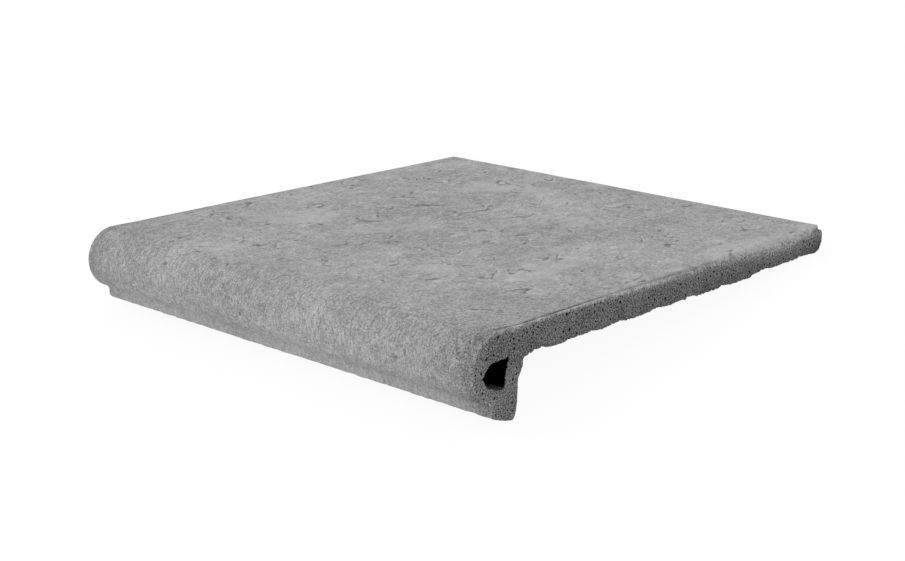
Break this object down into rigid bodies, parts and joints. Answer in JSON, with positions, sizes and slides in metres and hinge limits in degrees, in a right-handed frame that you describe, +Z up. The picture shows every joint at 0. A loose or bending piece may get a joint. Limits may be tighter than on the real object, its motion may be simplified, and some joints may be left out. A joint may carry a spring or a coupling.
{
  "type": "stair nosing tile",
  "caption": "Extruded grey stoneware step tile with a flat tread, a hollow half-round nosing and a drip leg that hooks over the edge of a stair.",
  "frame": {"origin": "middle of the footprint, on the floor that the tile lies on", "axes": "+X along the nose, +Y from the nose towards the back edge, +Z up; the tile leans back on its leg and its lower back edge"},
  "size_m": [0.33, 0.349, 0.0535],
  "materials": {
    "stoneware": "matt unglazed, stone-textured"
  },
  "bodies": {
    "root": {"nosing_tile": "stoneware"}
  },
  "joints": []
}
